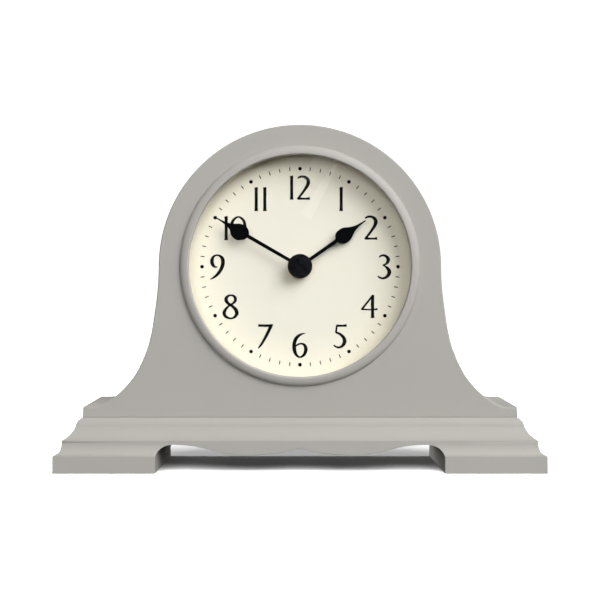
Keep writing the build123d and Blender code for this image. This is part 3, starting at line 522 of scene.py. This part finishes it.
# Hands
# Two hands stamped from half-millimetre steel: a slim rod that opens into a drop with a long drawn
# point, each pushed on its own arbor by a boss behind the blade. Stove-enamelled black.
# Satin black stove enamel: near black with a cool cast and a smooth, low gloss.
black_enamel = mottled("black_stove_enamel", "#060709", "#040506", 9.0, (0.3, 0.4), 0.7, 0.002,
                       Specular_IOR_Level=0.03)
rod_half, drop_half, drop_tail, drop_nose, blade, boss_height = 0.85, 3.95, 4.3, 14.3, 0.5, 1.0
boss_sides, tail_turn, tail_step, nose_steps, hand_ease, straight_up = 48, 76, 8, 6, 0.14, (0, 1)
nose_shares = ((0.89, 0.19), (0.56, 0.35), (0.35, 0.48), (0.22, 0.6), (0.13, 0.77), (0.08, 1.0))
for name, body, reach, needle, angle, boss, bore in (
        ("hour_hand", "hour_train", 27.5, 0.0, 55, 3.62, 2.52),
        ("minute_hand", "minute_train", 35.5, 1.3, 300, 2.87, 1.77)):
    blade_front = corners(name)[0].y
    bm = turned([(bore, blade_front), (boss, blade_front), (boss, blade_front + boss_height),
                 (bore, blade_front + boss_height)], boss_sides)
    tail = [radians(turn) for turn in range(tail_turn, -1, -tail_step)]
    outline = [(0, 0), (rod_half, 0)]
    outline += [(drop_half * cos(turn), reach - drop_tail * sin(turn)) for turn in tail]
    nose = [(drop_half, reach)]
    nose += [(drop_half * across, reach + drop_nose * along) for across, along in nose_shares]
    tip = reach + drop_nose + needle
    nose[-1] = (nose[-1][0], tip)
    curve = smooth_line(nose, straight_up, straight_up, nose_steps)
    outline += [point[:] for point in curve[1:]] + [(0, tip)]
    hand = bmesh.new()
    face_of(hand, outline, blade_front)
    both_halves(hand)
    thicken(hand, blade)
    ease(hand, hand_ease, arrises(hand, blade_front))
    bmesh.ops.rotate(hand, cent=(0, 0, 0), matrix=Matrix.Rotation(radians(angle), 3, "Y"), verts=hand.verts)
    bmesh.ops.translate(hand, vec=(0, 0, hub), verts=hand.verts)
    stamped = bpy.data.meshes.new("stamped")
    hand.to_mesh(stamped)
    hand.free()
    bm.from_mesh(stamped)
    bpy.data.meshes.remove(stamped)
    solid(name + "_blade", bm, [black_enamel], name, body)

# Hand cap
# A round cap turned from steel and enamelled black, pushed over the end of the minute arbor so it
# covers the bosses. It has a chamfered rim and a low flat button in the middle.
low, high = corners("hand_cap")
# Black lacquer on the turned face: a shade bluer and glossier than the hands.
cap_lacquer = mottled("black_lacquer_turned", "#0B0C11", "#08090C", 3.0, (0.24, 0.34), 0.5, 0.003,
                      Specular_IOR_Level=0.12)
cap_chamfer, button_radius, cap_sides, cap_ease = 0.4, 4.2, 96, 0.1
rim_front = low.y + cap_chamfer
bm = turned([(0, high.y), (high.x, high.y), (high.x, rim_front + cap_chamfer),
             (high.x - cap_chamfer, rim_front), (button_radius + cap_chamfer, rim_front),
             (button_radius, low.y), (0, low.y)], cap_sides)
ease(bm, cap_ease)
solid("hand_cap_turned", bm, [cap_lacquer], "hand_cap", "minute_train")

# Clamp of the movement and the screws
# A brass bush on the movement passes through the dial; a washer and a hexagon nut clamp it, with a
# rubber ring behind the dial against rattle. The screws of the case and the movement are zinc-plated.
line_stretch = 6.0


def metal(name, code, rough, line, depth):
    """A bare metal with fine lines left by the tool, a real distance apart in millimetres."""
    material = bpy.data.materials.new(name)
    material.use_nodes = True
    tree = material.node_tree
    shader = tree.nodes["Principled BSDF"]
    shader.inputs["Base Color"].default_value = colour(code)
    shader.inputs["Metallic"].default_value = 1.0
    spot = add(tree, "TexCoord", {}).outputs["Object"]
    stretched = add(tree, "Mapping", {"Vector": spot, "Scale": (1.0, line_stretch, 1.0)}).outputs[0]
    lines = add(tree, "TexNoise", {"Vector": stretched, "Scale": 1000 / line, "Detail": 3.0}).outputs["Fac"]
    sheen = add(tree, "MapRange", {"Value": lines, "To Min": rough[0], "To Max": rough[1]})
    bump = add(tree, "Bump", {"Height": lines, "Distance": depth / 1000, "Strength": 1.0})
    tree.links.new(sheen.outputs[0], shader.inputs["Roughness"])
    tree.links.new(bump.outputs[0], shader.inputs["Normal"])
    return material


def finish_nodes(finish, *names):
    """Gives CAD nodes whose shape is right their finish."""
    for name in names:
        nodes[name].material_slots[0].material = finish


# Bright zinc plate on mild steel: cool light grey, slightly cloudy, with the drawn lines of the wire.
zinc_plate = metal("zinc_plated_steel", "#B9BEC4", (0.24, 0.5), 0.8, 0.006)
finish_nodes(zinc_plate, "back_screws", "plinth_screws", "small_screws")
# Turned brass: warm yellow with fine tool lines, a little dulled.
brass = metal("turned_brass", "#C8A45A", (0.22, 0.4), 0.5, 0.004)
finish_nodes(brass, "threaded_bush", "bush_nut", "nut_washer")
# Moulded rubber: charcoal, dry and slightly bloomed.
rubber = mottled("moulded_rubber", "#1F1E1D", "#161615", 3.0, (0.7, 0.85), 0.4, 0.02)
finish_nodes(rubber, "dial_gasket")

# Movement
# A quartz movement in a two-part housing moulded from black plastic, its gears and setting knob in
# white acetal. Inside are a coil on a bobbin, a steel stator, a board with its crystal and chip.
# Spark-textured black plastic: very dark grey, an even fine matt grain from the mould.
black_plastic = mottled("textured_black_plastic", "#29292C", "#222225", 6.0, (0.42, 0.54), 0.22, 0.02)
finish_nodes(black_plastic, "movement_case", "movement_cover", "coil_bobbin", "clock_chip")
# Acetal: milky white, slightly waxy and smooth.
white_plastic = mottled("white_acetal", "#ECEAE2", "#E4E1D8", 5.0, (0.32, 0.42), 0.6, 0.004)
finish_nodes(white_plastic, "set_knob", "hour_wheel", "minute_arbor", "centre_wheel", "minute_works_wheel",
             "intermediate_wheel", "rotor_pinion")
# Bright nickel plate on spring bronze: pale warm silver with drawn lines.
nickel = metal("nickel_plate", "#CFCBC2", (0.16, 0.34), 0.6, 0.004)
finish_nodes(nickel, "contact_positive", "contact_negative", "quartz_crystal")
# Annealed soft iron: grey with a blued, cloudy skin.
soft_iron = metal("annealed_iron", "#8C8D90", (0.35, 0.55), 1.4, 0.006)
finish_nodes(soft_iron, "stator", "coil_core", "rotor_magnet")
# Enamelled copper wire wound in close turns: reddish, glossy, ridged a fifth of a millimetre apart.
copper_wire = metal("enamelled_copper_wire", "#B5673F", (0.2, 0.35), 0.2, 0.03)
finish_nodes(copper_wire, "coil_winding")
# Phenolic paper laminate: brown, resinous, with a faint layered fleck.
laminate = mottled("phenolic_laminate", "#9A6B3C", "#85592F", 1.6, (0.4, 0.55), 0.3, 0.006)
finish_nodes(laminate, "circuit_board")

# Mouldings on the cover
# Raised work moulded with the back of the housing: a rim, a guard ring round the setting knob with
# an arrow each way, and the plus and minus signs above the cell.
low, high = corners("movement_cover")
knob_low, knob_high = corners("set_knob")
knob_x, knob_z = (knob_low.x + knob_high.x) / 2, (knob_low.z + knob_high.z) / 2
relief, rib, ring_radius, arrow_radius, sign_x, sign_arm, sign_half = 0.6, 0.8, 6.2, 7.4, 17.0, 1.6, 0.35
arrow_starts, arrow_turn, arrow_steps, ring_sides, relief_ease = (60, 240), 60, 12, 64, 0.1
cover_back = high.y
bm = bmesh.new()
left, right, bottom, top = low.x + rib, high.x - rib, low.z + rib, high.z - rib
rim = face_of(bm, [(left, bottom), (right, bottom), (right, top), (left, top)], cover_back)
at_knob = Matrix.Translation((knob_x, cover_back, knob_z))
disc = bmesh.ops.create_circle(bm, cap_ends=True, segments=ring_sides, radius=ring_radius,
                               matrix=at_knob @ upright)["verts"]
ring = disc[0].link_faces[0]
for face in (rim, ring):
    bmesh.ops.inset_region(bm, faces=[face], thickness=rib, use_even_offset=True, use_boundary=True)
bmesh.ops.delete(bm, geom=[rim, ring], context="FACES")
for turn in arrow_starts:
    ends = [bm.verts.new((knob_x + radius, cover_back, knob_z))
            for radius in (arrow_radius, arrow_radius + rib / 2)]
    bmesh.ops.rotate(bm, cent=(knob_x, 0, knob_z), matrix=Matrix.Rotation(radians(turn), 3, "Y"), verts=ends)
    swung = bmesh.ops.spin(bm, geom=ends + [bm.edges.new(ends)], cent=(knob_x, 0, knob_z), axis=(0, 1, 0),
                           angle=radians(arrow_turn), steps=arrow_steps)["geom_last"]
    inner_end, outer_end = sorted((v.co for v in swung if isinstance(v, bmesh.types.BMVert)),
                                  key=lambda co: (co.x - knob_x) ** 2 + (co.z - knob_z) ** 2)
    outward = (outer_end - inner_end).normalized()
    onward = Vector((outward.z, 0, -outward.x))
    middle = (inner_end + outer_end) / 2
    head = [middle + outward * rib, middle + onward * 2 * rib, middle - outward * rib]
    bm.faces.new([bm.verts.new(corner) for corner in head])
minus = [(-sign_arm, -sign_half), (sign_arm, -sign_half), (sign_arm, sign_half), (-sign_arm, sign_half)]
plus = [(-sign_half, -sign_arm), (sign_half, -sign_arm), (sign_half, -sign_half), (sign_arm, -sign_half),
        (sign_arm, sign_half), (sign_half, sign_half), (sign_half, sign_arm), (-sign_half, sign_arm),
        (-sign_half, sign_half), (-sign_arm, sign_half), (-sign_arm, -sign_half), (-sign_half, -sign_half)]
for side, sign in ((1, plus), (-1, minus)):
    face_of(bm, [(side * sign_x + x, bottom + 2 * sign_arm + z) for x, z in sign], cover_back)
thicken(bm, relief)
ease(bm, relief_ease, arrises(bm, cover_back + relief), segments=2)
solid("cover_mouldings", bm, [black_plastic])

# Cell
# A single dry cell that lies across the bay in the housing: a drawn steel can in a plain shrunk
# plastic jacket with rolled ends, and a pressed button at the positive end.
# Shrunk jacket: glossy film, dull blue with a pale band at the positive end, faintly rippled.
jacket = mottled("shrunk_cell_jacket", "#3D5468", "#394E61", 12.0, (0.22, 0.32), 2.0, 0.01)
tree = jacket.node_tree
shader = tree.nodes["Principled BSDF"]
tone = shader.inputs["Base Color"].links[0].from_socket
along = add(tree, "SeparateXYZ", {0: add(tree, "TexCoord", {}).outputs["Object"]}).outputs["X"]
band_from, band_to, cell_sides = 13.8, 13.9, 72
band = add(tree, "MapRange", {"Value": along, "From Min": band_from / 1000,
                              "From Max": band_to / 1000}).outputs[0]
banded = add(tree, "Mix", {0: band, 6: tone, 7: colour("#C9C6BC")}, data_type="RGBA").outputs[2]
tree.links.new(banded, shader.inputs["Base Color"])
low, high = corners("battery")
# Its profile from the negative end: radius, and place along the cell.
profile = [(0, -24.95), (4.9, -24.95), (5.3, -25.25), (6.3, -25.25), (6.9, -25.1), (7.25, -24.75),
           (7.25, 23.4), (7.1, 23.75), (6.7, 23.9), (6.2, 23.85), (5.9, 24.05), (3.4, 24.05),
           (2.9, 24.15), (2.75, 24.4), (2.75, 24.95), (2.5, 25.2), (2.1, 25.25), (0, 25.25)]
bare_from, bare_to = -24.9, 23.88
bm = turned(profile, cell_sides)
for face in bm.faces:
    face.material_index = int(not bare_from < face.calc_center_median().y < bare_to)
bmesh.ops.translate(bm, vec=(0, 0, -hub), verts=bm.verts)
bmesh.ops.rotate(bm, cent=(0, 0, 0), matrix=Matrix.Rotation(-pi / 2, 3, "Z"), verts=bm.verts)
bmesh.ops.translate(bm, vec=(0, (low.y + high.y) / 2, (low.z + high.z) / 2), verts=bm.verts)
solid("dry_cell", bm, [jacket, zinc_plate], "battery", "cell")

# Stage
# A plain white floor and a white backdrop all round. One large soft lamp stands at the upper right, a
# weaker one by the camera and one behind, and two more light only the floor. The glass mirrors a black
# card with a lit strip before it.
scene = bpy.context.scene
scene.view_settings.view_transform = "Standard"


def stage_sheet(name, bm, finish):
    """Puts a bmesh drawn in metres into the scene as part of the stage."""
    mesh = bpy.data.meshes.new(name)
    bm.to_mesh(mesh)
    bm.free()
    mesh.materials.append(finish)
    sheet = bpy.data.objects.new(name, mesh)
    scene.collection.objects.link(sheet)
    return sheet


def flat_sheet(name, outline, finish):
    """A flat part of the stage, from its corners."""
    bm = bmesh.new()
    bm.faces.new([bm.verts.new(corner) for corner in outline])
    return stage_sheet(name, bm, finish)


room, hem_low = 6.0, -1.0
white_floor = mottled("white_floor", "#989898", "#949494", 400.0, (0.8, 0.9), 2.0, 0.002)
floor_corners = [(-room, -room, 0), (room, -room, 0), (room, room, 0), (-room, room, 0)]
floor = flat_sheet("floor", floor_corners, white_floor)
floor.visible_diffuse = floor.visible_glossy = False
white_cloth = mottled("white_cloth", "#FFFFFF", "#FBFBFB", 400.0, (0.9, 1.0), 2.0, 0.002,
                      Emission_Color=(1, 1, 1, 1), Emission_Strength=1.0)
bm = bmesh.new()
hem = [bm.verts.new((0, room, z)) for z in (hem_low, room)]
bmesh.ops.spin(bm, geom=hem + [bm.edges.new(hem)], cent=(0, 0, 0), axis=(0, 0, 1), angle=2 * pi, steps=64,
               use_merge=True)
backdrop = stage_sheet("backdrop", bm, white_cloth)
backdrop.visible_diffuse = backdrop.visible_glossy = backdrop.visible_transmission = False
backdrop.visible_shadow = False
black_card = mottled("black_card", "#060606", "#040404", 50.0, (0.9, 1.0), 1.0, 0.001)
card_half, card_y, card_low, card_high = 0.32, -1.02, -0.12, 0.44
card = flat_sheet("black_card", [(-card_half, card_y, card_low), (card_half, card_y, card_low),
                                 (card_half, card_y, card_high), (-card_half, card_y, card_high)], black_card)
lit_strip = mottled("lit_strip", "#FFFFFF", "#F4F4F4", 60.0, (0.9, 1.0), 1.0, 0.001,
                    Emission_Color=(1, 1, 1, 1))
fade_low, fade_high, strip_glow, strip_y = 0.235, 0.32, 0.9, -1.0
strip_corners = ((0.001, 0.24), (0.020, 0.23), (0.067, 0.326), (0.060, 0.33))
tree = lit_strip.node_tree
along = add(tree, "SeparateXYZ", {0: add(tree, "TexCoord", {}).outputs["Object"]}).outputs["Z"]
fade = add(tree, "MapRange", {"Value": along, "From Min": fade_low, "From Max": fade_high,
                              "To Max": strip_glow})
tree.links.new(fade.outputs[0], tree.nodes["Principled BSDF"].inputs["Emission Strength"])
strip = flat_sheet("lit_strip", [(x, strip_y, z) for x, z in strip_corners], lit_strip)
for sheet in (card, strip):
    sheet.visible_camera = sheet.visible_diffuse = sheet.visible_shadow = False

world = bpy.data.worlds.new("white_room")
scene.world = world
world.use_nodes = True
tree = world.node_tree
way = add(tree, "SeparateXYZ", {0: add(tree, "TexCoord", {}).outputs["Generated"]})
ceiling = add(tree, "MapRange", {"Value": way.outputs["Z"], "From Min": 0.35, "From Max": 0.75,
                                 "To Min": 0.8, "To Max": 0.12}, interpolation_type="SMOOTHSTEP")
below = add(tree, "MapRange", {"Value": way.outputs["Z"], "From Min": -0.02, "From Max": 0.16,
                               "To Min": 0.0, "To Max": 1.0})
ahead = add(tree, "MapRange", {"Value": way.outputs["Y"], "From Min": -0.7, "From Max": 0.1,
                               "To Min": 0.3, "To Max": 1.0}, interpolation_type="SMOOTHSTEP")
walls = add(tree, "Math", {0: ceiling.outputs[0], 1: below.outputs[0]}, operation="MULTIPLY")
light = add(tree, "Math", {0: walls.outputs[0], 1: ahead.outputs[0]}, operation="MULTIPLY")
tree.links.new(light.outputs[0], tree.nodes["Background"].inputs["Strength"])
tree.nodes["Background"].inputs["Color"].default_value = (1, 1, 1, 1)


def lamp(name, spot, aim, size, power, mirrored):
    """A square soft lamp aimed at a point; only some show in polished faces."""
    data = bpy.data.lights.new(name, "AREA")
    data.size = size
    data.energy = power
    made = bpy.data.objects.new(name, data)
    made.location = spot
    made.rotation_euler = (Vector(aim) - Vector(spot)).to_track_quat("-Z", "Y").to_euler()
    made.visible_glossy = mirrored
    scene.collection.objects.link(made)
    return made


clock_middle = (0, 0, 0.1)
lamp("key", (1.72, -1.84, 1.80), clock_middle, 2.4, 118.0, True)
lamp("fill", (-0.2, -1.5, 0.38), clock_middle, 0.8, 8.8, False)
back_lamp = lamp("back", (-0.8, 1.2, 0.5), clock_middle, 0.8, 16.0, False)
floor_lamp = lamp("floor", (0, -0.8, 1.0), (0, 0, 0), 2.0, 19.0, False)
behind_lamp = lamp("behind", (0, 0.12, 1.0), (0, 0, 0), 2.0, 3.4, False)
lit = bpy.data.collections.new("lit_by_floor_lamps")
lit.objects.link(floor)
for made, spread in ((floor_lamp, 64), (behind_lamp, 8)):
    made.data.type = "SUN"
    made.data.angle = radians(spread)
    made.light_linking.receiver_collection = lit
unlit = bpy.data.collections.new("not_lit_by_back_lamp")
unlit.objects.link(floor)
unlit.collection_objects[0].light_linking.link_state = "EXCLUDE"
back_lamp.light_linking.receiver_collection = unlit

camera = bpy.data.cameras.new("camera")
camera.lens = 58.55
camera.sensor_width = 36.0
camera.shift_y = 0.0133
view = bpy.data.objects.new("camera", camera)
view.location = (0, -0.5225, 0.08365)
view.rotation_euler = (pi / 2, 0, 0)
scene.collection.objects.link(view)
scene.camera = view
